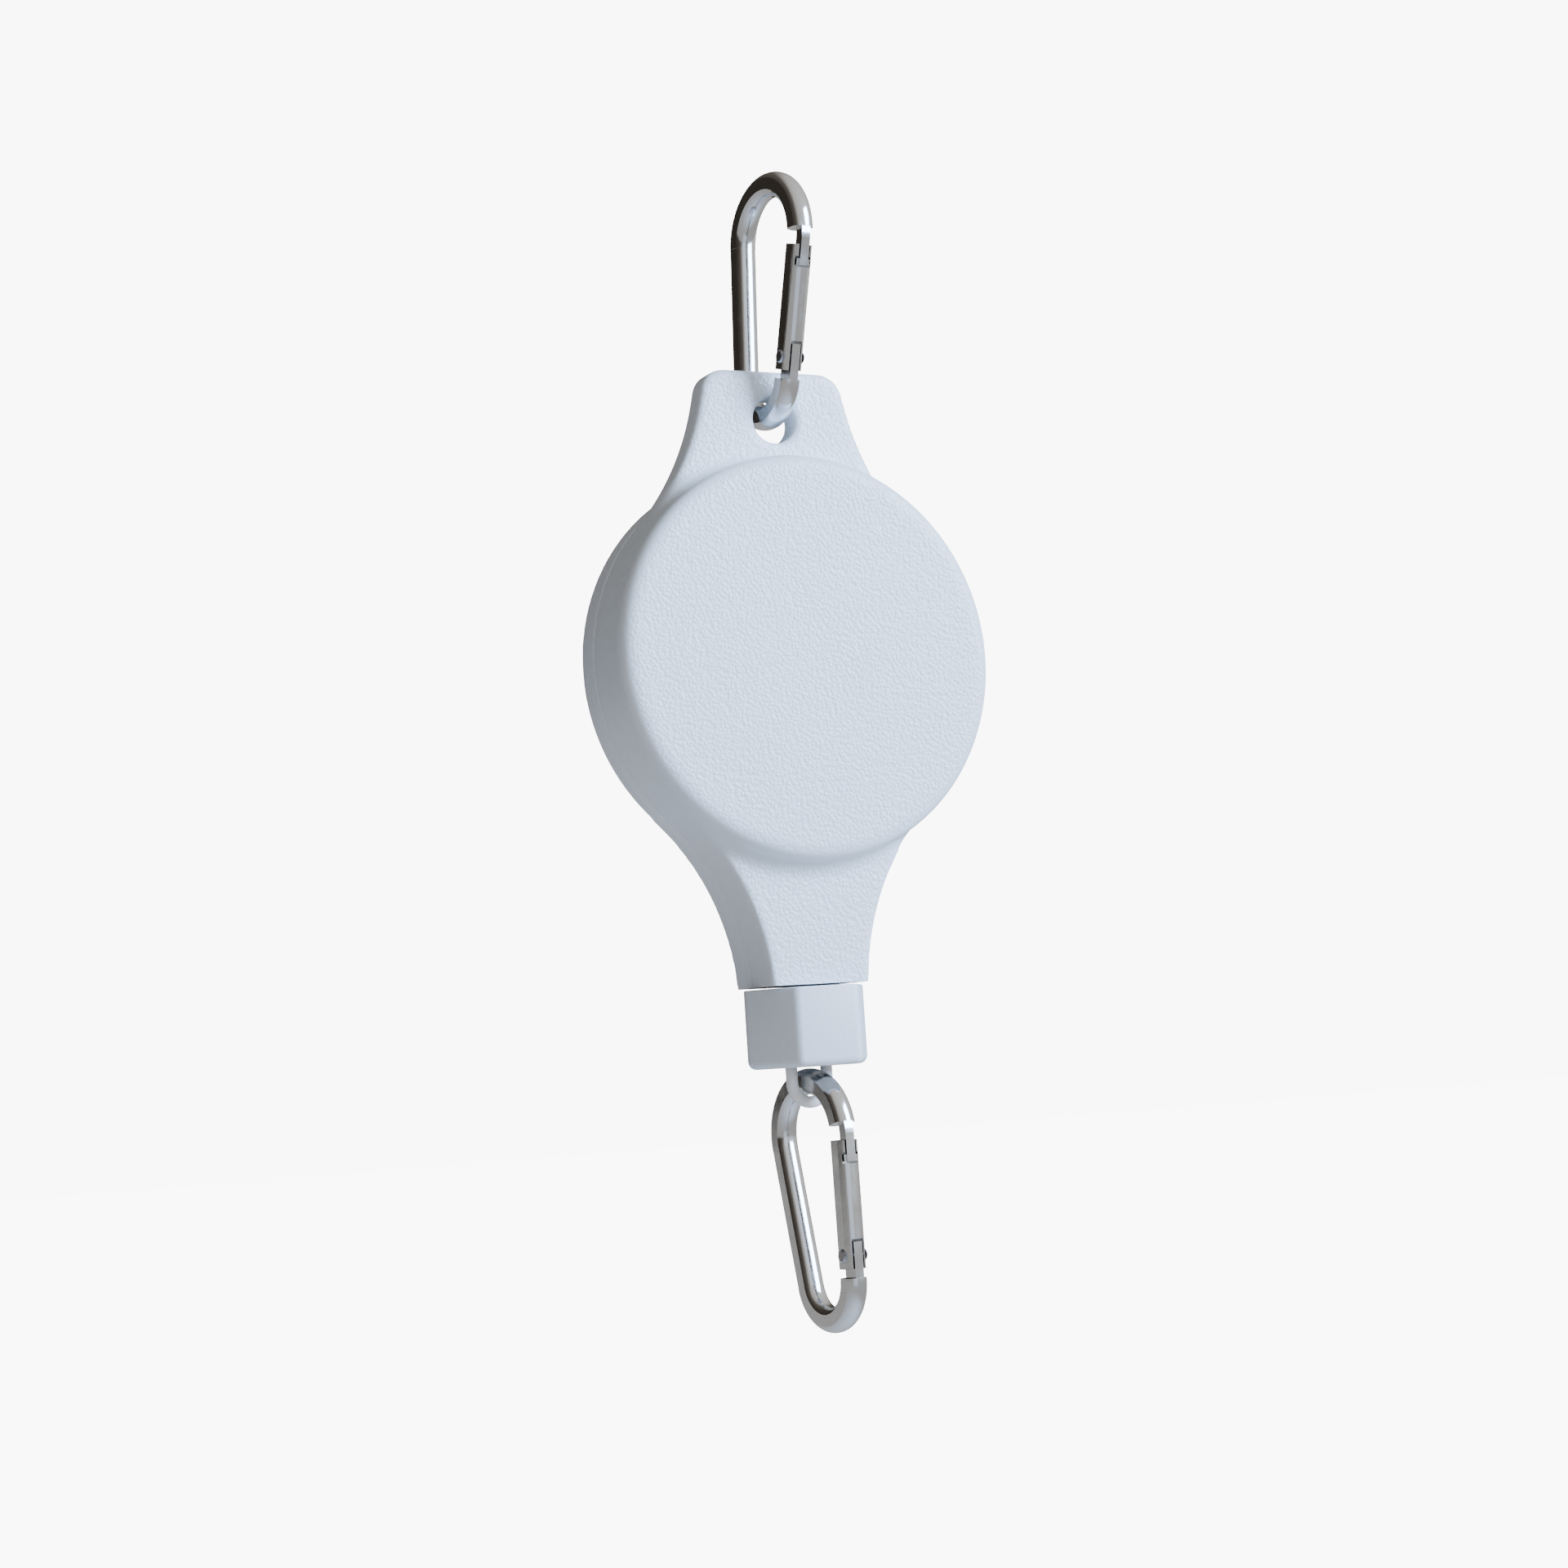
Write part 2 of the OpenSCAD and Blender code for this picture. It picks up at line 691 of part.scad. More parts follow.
upper_hook_body();
upper_hook_gate();
upper_hook_rivet();
upper_gate_spring();
upper_gate_plunger();
front_shell();
rear_cover();
housing_screws();
line_guide_bush();
spindle();
retaining_clip();
mainspring();
line_spool();
ratchet_wheel();
wound_line();
pawl();
pawl_pin();
pawl_spring();
line_lead();
line_run();
line_knot();
line_loop();
stop_washer();
stop_block();
lower_hook_body();
lower_hook_gate();
lower_hook_rivet();
lower_gate_spring();
lower_gate_plunger();
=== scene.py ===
"""Looks of a retractable hanging reel: moulded shells, a hexagonal stop block, snap hooks and line."""

import json
import math

import bmesh
import bpy
from mathutils import Matrix, Vector


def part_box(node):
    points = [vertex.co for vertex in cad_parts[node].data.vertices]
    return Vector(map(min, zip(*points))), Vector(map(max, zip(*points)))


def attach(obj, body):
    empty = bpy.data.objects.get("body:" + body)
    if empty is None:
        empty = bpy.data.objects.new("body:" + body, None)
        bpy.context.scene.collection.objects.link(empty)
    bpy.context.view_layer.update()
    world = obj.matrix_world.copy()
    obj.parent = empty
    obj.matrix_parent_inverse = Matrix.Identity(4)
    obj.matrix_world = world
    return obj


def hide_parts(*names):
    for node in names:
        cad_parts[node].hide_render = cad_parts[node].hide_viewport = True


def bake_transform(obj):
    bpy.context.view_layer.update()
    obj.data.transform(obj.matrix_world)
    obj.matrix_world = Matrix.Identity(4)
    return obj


MM = 0.001
# Points closer than this to a plane are taken to lie in it
TOUCHING = 0.01 * MM

# The reel housing's sizes, as in the part's source
TAB_TOP = 55 * MM
TAB_FRONT = 9 * MM
TAB_CORNER_R = 5 * MM
TAB_HALF_W = 15.1 * MM
TAB_WIDTH_AT = 49 * MM
TAB_LEAN = math.radians(13)
TAB_HOLE_R = 4.3 * MM
TAB_HOLE_Z = 45.7 * MM
NECK_FRONT = 4.9 * MM
NECK_HALF_W = 9.9 * MM
NECK_FLAT = 2.4 * MM
WALL = 2 * MM
FRONT_RIM_R = 2.4 * MM
BACK_RIM_R = 1.2 * MM
NECK_EDGE_R = 3.0 * MM
BUSH_R = 3.5 * MM
SCREW_HOLE_R = 2.2 * MM
SCREW_R = 1.1 * MM
SCREW_SLACK = 0.2 * MM
BOSS_R = 2.5 * MM
SPINDLE_R = 3 * MM
# The post that the pawl's spring leans on: its low corner from the drum's middle, and its side
POST_X = 5.88 * MM
POST_Z = -48.2 * MM
POST_SIDE = 2.4 * MM
SCREW_HOLE_DEPTH = 1.6 * MM
SCREW_RING_R = 33.2 * MM
SCREW_ANGLES = (35, 145, 215, 325)
NECK_SCREW_X = 6.6 * MM
NECK_SCREW_Z = -51.6 * MM
# Grain of the voxels that blend the moulded shapes into one skin, and how far the skin is softened
SKIN_VOXEL = 0.5 * MM
SKIN_SOFTENING = 8
CREASE_SOFTENING = 30
CREASE_REACH = 2.6 * MM
# Shares of the drum radius beyond which the tab and the neck run into its wall
TAB_CREASE_FROM = 0.62
NECK_CREASE_FROM = 0.72
JOINT_LIP = 0.3 * MM
# The face sinks a little over the hub inside, where the plastic is thicker
SINK_DEPTH = 0.12 * MM
SINK_R = 11 * MM
# The stop block
BLOCK_FLATS = 21 * MM
BLOCK_TURN = math.radians(-3)
# A six-sided cone is made with a corner to the front, and the block has a flat there
HEX_PHASE = math.radians(30)
BLOCK_ROOF = 2.5 * MM
BLOCK_BORE_R = 5.6 * MM
BLOCK_LINE_R = 1.4 * MM
BLOCK_EDGE_R = 0.9 * MM
BLOCK_FOOT_R = 1.5 * MM
BLOCK_TOP_R = 0.3 * MM

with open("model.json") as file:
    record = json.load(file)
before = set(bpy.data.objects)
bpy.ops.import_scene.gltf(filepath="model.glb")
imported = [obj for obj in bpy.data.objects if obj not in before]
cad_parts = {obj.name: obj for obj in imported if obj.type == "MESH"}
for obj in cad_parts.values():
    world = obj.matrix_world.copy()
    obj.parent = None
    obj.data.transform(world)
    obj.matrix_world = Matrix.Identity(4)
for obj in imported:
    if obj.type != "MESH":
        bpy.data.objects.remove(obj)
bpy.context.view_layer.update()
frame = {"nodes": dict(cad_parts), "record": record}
nodes = frame["nodes"]

front_low, front_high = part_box("front_shell")
block_low, block_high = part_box("stop_block")
bush_low, bush_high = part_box("line_guide_bush")
pin_low, pin_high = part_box("pawl_pin")
PIN_R = (pin_high.x - pin_low.x) / 2
CLIP_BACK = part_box("retaining_clip")[1].y
PAWL_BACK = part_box("pawl")[1].y
DRUM_R = (front_high.x - front_low.x) / 2
DRUM_X = (front_high.x + front_low.x) / 2
FACE_Y = front_low.y
JOINT_Y = front_high.y
BACK_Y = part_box("rear_cover")[1].y
DRUM_Z = front_high.z - TAB_TOP
NECK_END = front_low.z - DRUM_Z
LINE_Y = (bush_low.y + bush_high.y) / 2


# ---- camera --------------------------------------------------------------------------------

CAMERA_AZIMUTH = math.radians(-26.85)
CAMERA_ELEVATION = math.radians(-5.41)
CAMERA_ROLL = math.radians(-3.702)
CAMERA_DISTANCE = 524.9 * MM
CAMERA_AIM = Vector((-3.07, 3.07, -109.81)) * MM
LENS_MM = 65.47


def make_camera():
    """Stands the camera to the object's left and a little below its middle, rolled as it was held."""
    back = Vector((
        math.sin(CAMERA_AZIMUTH) * math.cos(CAMERA_ELEVATION),
        -math.cos(CAMERA_AZIMUTH) * math.cos(CAMERA_ELEVATION),
        math.sin(CAMERA_ELEVATION),
    ))
    right = (-back).cross(Vector((0, 0, 1))).normalized()
    up = right.cross(-back)
    turn = Matrix.Rotation(CAMERA_ROLL, 3, back)
    right, up = turn @ right, turn @ up
    camera = bpy.data.objects.new("camera", bpy.data.cameras.new("camera"))
    bpy.context.scene.collection.objects.link(camera)
    placed = Matrix((right, up, back)).transposed().to_4x4()
    placed.translation = CAMERA_AIM + back * CAMERA_DISTANCE
    camera.matrix_world = placed
    camera.data.lens = LENS_MM
    camera.data.clip_start = 0.01
    camera.data.clip_end = 50
    bpy.context.scene.camera = camera


make_camera()


# ---- mesh helpers --------------------------------------------------------------------------

def shift_mesh(piece, x):
    """Moves a piece's mesh sideways, its object staying at the origin."""
    piece.data.transform(Matrix.Translation((x, 0, 0)))


def finish_piece(name, bm):
    """A bmesh as an object in the scene, at the origin."""
    mesh = bpy.data.meshes.new(name)
    bm.to_mesh(mesh)
    bm.free()
    piece = bpy.data.objects.new(name, mesh)
    bpy.context.scene.collection.objects.link(piece)
    return piece


def bake_modifiers(piece):
    """Applies a piece's modifiers to its mesh."""
    graph = bpy.context.evaluated_depsgraph_get()
    made = bpy.data.meshes.new_from_object(piece.evaluated_get(graph))
    old = piece.data
    piece.modifiers.clear()
    piece.data = made
    bpy.data.meshes.remove(old)


def cut(piece, tool, operation="DIFFERENCE"):
    """Cuts one closed solid with another, which is used up."""
    modifier = piece.modifiers.new("cut", "BOOLEAN")
    modifier.operation = operation
    modifier.solver = "EXACT"
    modifier.object = tool
    bake_modifiers(piece)
    bpy.data.objects.remove(tool)


def add_box(bm, low, high):
    """A closed box between two corners, and its vertices."""
    low, high = Vector(low), Vector(high)
    place = Matrix.Translation((low + high) / 2) @ Matrix.Diagonal((*(high - low), 1))
    return bmesh.ops.create_cube(bm, size=1, matrix=place)["verts"]


def add_rod(bm, x, z, radius, front, back, segments=64):
    """A closed round bar along y, and its vertices."""
    place = Matrix.Translation((x, (front + back) / 2, z)) @ Matrix.Rotation(math.pi / 2, 4, "X")
    return bmesh.ops.create_cone(
        bm, cap_ends=True, segments=segments, radius1=radius, radius2=radius, depth=back - front,
        matrix=place,
    )["verts"]


def round_edges(bm, edges, radius, segments=4):
    bmesh.ops.bevel(
        bm, geom=edges, offset=radius, offset_type="OFFSET", affect="EDGES",
        segments=segments, profile=0.5, material=-1, clamp_overlap=True,
    )


def smooth_faces(piece, angle=35):
    """Shades curved faces smooth and keeps edges sharper than the angle crisp."""
    piece.data.shade_smooth()
    piece.data.set_sharp_from_angle(angle=math.radians(angle))


# ---- housing -------------------------------------------------------------------------------

def flare_circle(half_w, height, lean):
    """Centre x, centre z and radius of the hollow curve that runs off the drum through a side's point."""
    reach = half_w * math.cos(lean) + abs(height) * math.sin(lean)
    radius = (half_w ** 2 + height ** 2 - DRUM_R ** 2) / (2 * (DRUM_R - reach))
    return half_w + radius * math.cos(lean), height + math.copysign(radius * math.sin(lean), height), radius


def make_plate(name, front, back, low_z, high_z, flare, margin=0.0):
    """A flat plate whose two sides are cut hollow by the flare."""
    flare_x, flare_z, flare_r = flare
    half = DRUM_R * flare_x / (DRUM_R + flare_r)
    bm = bmesh.new()
    add_box(bm, (-half, front, low_z), (half, back, high_z))
    piece = finish_piece(name, bm)
    bm = bmesh.new()
    for side in (-1, 1):
        add_rod(bm, side * flare_x, DRUM_Z + flare_z, flare_r + margin, front - MM, back + MM, 256)
    cut(piece, finish_piece("flare_tool", bm))
    return piece


def make_tab(front, back):
    """The tab's solids: flared sides, a top between two rounded corners, and the hook's hole."""
    flare_x, flare_z, flare_r = TAB_FLARE
    corner_z = TAB_TOP - TAB_CORNER_R
    corner_x = flare_x - math.sqrt((flare_r + TAB_CORNER_R) ** 2 - (flare_z - corner_z) ** 2)
    solids = [make_plate("tab_sides", front, back, DRUM_Z, DRUM_Z + corner_z, TAB_FLARE)]
    bm = bmesh.new()
    add_box(bm, (-corner_x, front, DRUM_Z + corner_z - MM), (corner_x, back, DRUM_Z + TAB_TOP))
    solids.append(finish_piece("tab_top", bm))
    for side in (-1, 1):
        bm = bmesh.new()
        add_rod(bm, side * corner_x, DRUM_Z + corner_z, TAB_CORNER_R, front, back)
        solids.append(finish_piece("tab_corner", bm))
    for solid in solids[:2]:
        cut_round(solid, [(0, DRUM_Z + TAB_HOLE_Z, TAB_HOLE_R, front - MM, back + MM)])
    return solids


def round_front(piece, front_y, radius):
    """Rounds the long side edges of a plate's front face."""
    bm = bmesh.new()
    bm.from_mesh(piece.data)
    bm.faces.ensure_lookup_table()
    edges = [
        e for e in bm.edges
        if all(abs(v.co.y - front_y) < TOUCHING for v in e.verts)
        and abs(e.verts[0].co.z - e.verts[1].co.z) > TOUCHING
    ]
    round_edges(bm, edges, radius, 6)
    bm.to_mesh(piece.data)
    bm.free()


def make_drum(front, back, front_r, back_r):
    """The drum as one solid, its two rims rounded."""
    bm = bmesh.new()
    add_rod(bm, 0, DRUM_Z, DRUM_R, front, back, 192)
    for y, radius in ((front, front_r), (back, back_r)):
        if radius:
            rim = [e for e in bm.edges if all(abs(v.co.y - y) < TOUCHING for v in e.verts)]
            round_edges(bm, rim, radius, 6)
    return finish_piece("drum", bm)


def soften(bm, verts, times):
    """Relaxes points towards their neighbours, which rounds the edges among them."""
    for _ in range(times):
        bmesh.ops.smooth_vert(
            bm, verts=verts, factor=0.5, use_axis_x=True, use_axis_y=True, use_axis_z=True)


def join_skin(name, parts):
    """Blends overlapping solids into one moulded skin, and softens it."""
    bm = bmesh.new()
    for part in parts:
        bm.from_mesh(part.data)
        bpy.data.objects.remove(part)
    skin = finish_piece(name, bm)
    remesh = skin.modifiers.new("skin", "REMESH")
    remesh.mode = "VOXEL"
    remesh.voxel_size = SKIN_VOXEL
    bake_modifiers(skin)
    bm = bmesh.new()
    bm.from_mesh(skin.data)
    soften(bm, bm.verts, SKIN_SOFTENING)
    soften(bm, [v for v in bm.verts if near_crease(v.co)], CREASE_SOFTENING)
    for vert in bm.verts:
        if vert.co.y < FACE_Y + MM:
            away = math.hypot(vert.co.x, vert.co.z - DRUM_Z) / SINK_R
            vert.co.y += SINK_DEPTH * math.exp(-away ** 2)
    bm.to_mesh(skin.data)
    bm.free()
    return skin


def near_crease(point):
    """True where the drum's wall meets the face of the neck or of the tab."""
    off_wall = abs(math.hypot(point.x, point.z - DRUM_Z) - DRUM_R)
    height = point.z - DRUM_Z
    plate_y = FACE_Y + (TAB_FRONT if height > 0 else NECK_FRONT)
    steep = height > TAB_CREASE_FROM * DRUM_R or height < -NECK_CREASE_FROM * DRUM_R
    return steep and math.hypot(off_wall, point.y - plate_y) < CREASE_REACH


def keep_side(piece, y, keep_front):
    """Cuts a skin off flat at the joint between the two shells."""
    bm = bmesh.new()
    bm.from_mesh(piece.data)
    cut_geom = bmesh.ops.bisect_plane(
        bm, geom=bm.verts[:] + bm.edges[:] + bm.faces[:], plane_co=(0, y, 0), plane_no=(0, 1, 0),
        clear_outer=keep_front, clear_inner=not keep_front,
    )["geom_cut"]
    rim = [g for g in cut_geom if isinstance(g, bmesh.types.BMEdge)]
    outward = (0, 1 if keep_front else -1, 0)
    bmesh.ops.triangle_fill(bm, edges=rim, use_beauty=True, use_dissolve=True, normal=outward)
    lip = [e for e in bm.edges if e.is_valid and all(abs(v.co.y - y) < TOUCHING for v in e.verts)
           and any(abs(f.normal.y) < 0.5 for f in e.link_faces)]
    round_edges(bm, lip, JOINT_LIP, 1)
    bm.to_mesh(piece.data)
    bm.free()


TAB_FLARE = flare_circle(TAB_HALF_W, TAB_WIDTH_AT, TAB_LEAN)
NECK_FLARE = flare_circle(NECK_HALF_W, NECK_END - NECK_FLAT, 0)
OVERRUN = 1.5 * MM
# Kept between surfaces that would otherwise lie in one plane
STEP = 0.05 * MM
BOSS_ROOT = 1 * MM
# How far up into the drum the neck's room runs, as a share of the drum radius
NECK_ROOM_TOP = 0.6
# Points closer than this are merged after the cuts
MERGE = 0.002 * MM
# Bosses inside the rear cover: walls round the spindle and the pawl's pin, gaps to what they face, seat depth
SPINDLE_BOSS_WALL = 2 * MM
PIN_BOSS_WALL = 1.6 * MM
CLIP_GAP = 0.1 * MM
PAWL_GAP = 0.3 * MM
SEAT_DEPTH = 0.5 * MM


def cut_round(piece, holes):
    """Cuts round holes along y, each given as x, z, radius, front and back."""
    bm = bmesh.new()
    for x, z, radius, front, back in holes:
        add_rod(bm, x, z, radius, front, back, 48)
    cut(piece, finish_piece("hole_tool", bm))


def cut_cavity(piece, front, back, neck_front):
    """Hollows a shell: the drum's room and the neck's."""
    bm = bmesh.new()
    add_rod(bm, 0, DRUM_Z, DRUM_R - WALL, front, back, 128)
    cut(piece, finish_piece("room_tool", bm))
    neck = make_plate(
        "neck_room_tool", neck_front, back - STEP, DRUM_Z + NECK_END + WALL, DRUM_Z - NECK_ROOM_TOP * DRUM_R,
        NECK_FLARE, margin=WALL)
    cut(piece, neck)


def trim_neck(piece):
    """Cuts the neck's end off square, where the stop block bears."""
    bm = bmesh.new()
    end = DRUM_Z + NECK_END
    add_box(bm, (-DRUM_R, FACE_Y - MM, end - 2 * OVERRUN), (DRUM_R, BACK_Y + MM, end))
    cut(piece, finish_piece("neck_trim_tool", bm))


def add_bosses(piece, bosses):
    """Adds round bosses along y inside a shell, each given as x, z, radius, front and back."""
    for x, z, radius, front, back in bosses:
        bm = bmesh.new()
        add_rod(bm, x, z, radius, front, back, 48)
        cut(piece, finish_piece("boss", bm), "UNION")


def clean_skin(piece):
    """Merges the points that the cuts left on top of one another."""
    bm = bmesh.new()
    bm.from_mesh(piece.data)
    bmesh.ops.remove_doubles(bm, verts=bm.verts, dist=MERGE)
    bmesh.ops.dissolve_degenerate(bm, edges=bm.edges, dist=MERGE)
    bm.to_mesh(piece.data)
    bm.free()


RING_SCREWS = [
    (SCREW_RING_R * math.cos(math.radians(a)), DRUM_Z + SCREW_RING_R * math.sin(math.radians(a)))
    for a in SCREW_ANGLES
]
NECK_SCREWS = [(side * NECK_SCREW_X, DRUM_Z + NECK_SCREW_Z) for side in (-1, 1)]


def cut_bush_hole(piece):
    """The round hole in the neck's end that holds the line's bush."""
    bm = bmesh.new()
    bottom, top = DRUM_Z + NECK_END - MM, DRUM_Z + NECK_END + WALL + MM
    place = Matrix.Translation((0, LINE_Y, (bottom + top) / 2))
    bmesh.ops.create_cone(
        bm, cap_ends=True, segments=48, radius1=BUSH_R, radius2=BUSH_R, depth=top - bottom, matrix=place)
    cut(piece, finish_piece("bush_tool", bm))


def make_front():
    """The front shell: drum, tab and neck moulded in one."""
    neck = make_plate(
        "neck", FACE_Y + NECK_FRONT, JOINT_Y + OVERRUN, DRUM_Z + NECK_END - OVERRUN, DRUM_Z, NECK_FLARE)
    round_front(neck, FACE_Y + NECK_FRONT, NECK_EDGE_R)
    tab = make_tab(FACE_Y + TAB_FRONT, JOINT_Y + OVERRUN)
    drum = make_drum(FACE_Y, JOINT_Y + OVERRUN, FRONT_RIM_R, 0)
    skin = join_skin("housing_front", [drum, neck, *tab])
    keep_side(skin, JOINT_Y, keep_front=True)
    trim_neck(skin)
    cut_cavity(skin, FACE_Y + WALL, JOINT_Y + MM, FACE_Y + NECK_FRONT + WALL)
    neck_face = FACE_Y + NECK_FRONT
    tip = neck_face + WALL + 1.5 * MM
    add_bosses(skin, [(x, z, BOSS_R, FACE_Y + BOSS_ROOT, JOINT_Y - STEP) for x, z in RING_SCREWS])
    add_bosses(skin, [(x, z, BOSS_R, neck_face + BOSS_ROOT, JOINT_Y - STEP) for x, z in NECK_SCREWS])
    add_bosses(skin, [(0, DRUM_Z, 2 * SPINDLE_R, FACE_Y + BOSS_ROOT, FACE_Y + WALL + 0.8 * MM)])
    cut_round(skin, [(x, z, SCREW_R, tip, JOINT_Y + MM) for x, z in RING_SCREWS + NECK_SCREWS])
    cut_round(skin, [(0, DRUM_Z, SPINDLE_R, FACE_Y + WALL - MM, JOINT_Y)])
    cut_bush_hole(skin)
    clean_skin(skin)
    shift_mesh(skin, DRUM_X)
    return skin


def make_back():
    """The rear cover: screw holes outside, and bosses, seats and the spring post inside."""
    neck = make_plate("neck", JOINT_Y - OVERRUN, BACK_Y, DRUM_Z + NECK_END - OVERRUN, DRUM_Z, NECK_FLARE)
    drum = make_drum(JOINT_Y - OVERRUN, BACK_Y, 0, BACK_RIM_R)
    skin = join_skin("housing_back", [drum, neck])
    keep_side(skin, JOINT_Y, keep_front=False)
    trim_neck(skin)
    cut_cavity(skin, JOINT_Y - MM, BACK_Y - WALL, JOINT_Y - MM)
    screws = RING_SCREWS + NECK_SCREWS
    pin_x, pin_z = (pin_low.x + pin_high.x) / 2 - DRUM_X, (pin_low.z + pin_high.z) / 2
    root = BACK_Y - BOSS_ROOT
    add_bosses(skin, [(x, z, BOSS_R, JOINT_Y + STEP, root) for x, z in screws])
    add_bosses(skin, [
        (0, DRUM_Z, SPINDLE_R + SPINDLE_BOSS_WALL, CLIP_BACK + CLIP_GAP, root),
        (pin_x, pin_z, PIN_R + PIN_BOSS_WALL, PAWL_BACK + PAWL_GAP, root),
    ])
    bm = bmesh.new()
    post_z = DRUM_Z + POST_Z
    add_box(bm, (POST_X, PAWL_BACK + PAWL_GAP, post_z), (POST_X + POST_SIDE, root, post_z + POST_SIDE))
    cut(skin, finish_piece("spring_post", bm), "UNION")
    cut_round(skin, [(x, z, SCREW_R + SCREW_SLACK, JOINT_Y - MM, BACK_Y + MM) for x, z in screws])
    cut_round(skin, [(x, z, SCREW_HOLE_R, BACK_Y - SCREW_HOLE_DEPTH, BACK_Y + MM) for x, z in screws])
    cut_round(skin, [
        (0, DRUM_Z, SPINDLE_R, JOINT_Y, BACK_Y - WALL - SEAT_DEPTH),
        (pin_x, pin_z, PIN_R, JOINT_Y, BACK_Y - WALL - SEAT_DEPTH),
    ])
    cut_bush_hole(skin)
    clean_skin(skin)
    shift_mesh(skin, DRUM_X)
    return skin


# ---- stop block ----------------------------------------------------------------------------

def make_block():
    """The hexagonal block: rounded edges, hollow below, a hole for the line in its roof."""
    height = block_high.z - block_low.z
    bm = bmesh.new()
    middle = Matrix.Translation((0, LINE_Y, (block_low.z + block_high.z) / 2))
    place = middle @ Matrix.Rotation(BLOCK_TURN + HEX_PHASE, 4, "Z")
    radius = BLOCK_FLATS / 2 / math.cos(math.radians(30))
    bmesh.ops.create_cone(
        bm, cap_ends=True, segments=6, radius1=radius, radius2=radius, depth=height, matrix=place)
    upright = [e for e in bm.edges if abs(e.verts[0].co.z - e.verts[1].co.z) > 0.5 * height]
    round_edges(bm, upright, BLOCK_EDGE_R)
    for z, rounding in ((block_low.z, BLOCK_FOOT_R), (block_high.z, BLOCK_TOP_R)):
        rim = [e for e in bm.edges if all(abs(v.co.z - z) < TOUCHING for v in e.verts)]
        round_edges(bm, rim, rounding)
    block = finish_piece("hex_block", bm)
    bm = bmesh.new()
    for bore_r, top in ((BLOCK_BORE_R, block_high.z - BLOCK_ROOF), (BLOCK_LINE_R, block_high.z + MM)):
        bottom = block_low.z - MM
        bmesh.ops.create_cone(
            bm, cap_ends=True, segments=64, radius1=bore_r, radius2=bore_r, depth=top - bottom,
            matrix=Matrix.Translation((0, LINE_Y, (bottom + top) / 2)))
        tool = finish_piece("bore_tool", bm)
        cut(block, tool)
        bm = bmesh.new()
    bm.free()
    shift_mesh(block, DRUM_X)
    return block


# ---- line -----------------------------------------------------------------------------------

LINE_RINGS = 240
LINE_STRANDS = 8
STRAND_SHARE = 0.06


def make_line():
    """The line from the neck to the knot: ridged by its strands, in rings close enough to stretch."""
    low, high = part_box("line_run")
    middle = (low + high) / 2
    radius = (high.x - low.x) / 2
    bm = bmesh.new()
    bmesh.ops.create_cone(
        bm, cap_ends=True, segments=4 * LINE_STRANDS, radius1=radius, radius2=radius, depth=high.z - low.z,
        matrix=Matrix.Translation(middle))
    upright = [e for e in bm.edges if abs(e.verts[0].co.z - e.verts[1].co.z) > (high.z - low.z) / 2]
    bmesh.ops.subdivide_edges(bm, edges=upright, cuts=LINE_RINGS, use_grid_fill=True)
    for vert in bm.verts:
        off = Vector((vert.co.x - middle.x, vert.co.y - middle.y, 0))
        ridge = 0.5 - 0.5 * math.cos(LINE_STRANDS * math.atan2(off.y, off.x))
        vert.co -= off * STRAND_SHARE * ridge
    line = finish_piece("paid_out_line", bm)
    smooth_faces(line, 60)
    return line, (middle.x, middle.y, high.z), (middle.x, middle.y, low.z)


# ---- materials -----------------------------------------------------------------------------

def srgb(code):
    """An sRGB hex colour as linear values."""
    channels = [int(code[i:i + 2], 16) / 255 for i in (1, 3, 5)]
    return tuple(c / 12.92 if c <= 0.04045 else ((c + 0.055) / 1.055) ** 2.4 for c in channels) + (1.0,)


def add_node(tree, kind, settings=None, inputs=None):
    """Adds a node with its settings, and inputs that are values or another node's output."""
    node = tree.nodes.new(kind)
    for name, value in (settings or {}).items():
        setattr(node, name, value)
    for name, value in (inputs or {}).items():
        if isinstance(value, bpy.types.NodeSocket):
            tree.links.new(value, node.inputs[name])
        else:
            node.inputs[name].default_value = value
    return node


def start_material(name, metallic, ior=1.5):
    """A new material with its shader, and object coordinates for its patterns."""
    material = bpy.data.materials.new(name)
    material.use_nodes = True
    tree = material.node_tree
    shader = tree.nodes["Principled BSDF"]
    shader.inputs["Metallic"].default_value = metallic
    shader.inputs["IOR"].default_value = ior
    return material, tree, shader, add_node(tree, "ShaderNodeTexCoord")


def per_mm(size_mm):
    """The texture scale at which a pattern repeats about once in that many millimetres."""
    return 1 / (size_mm * MM)


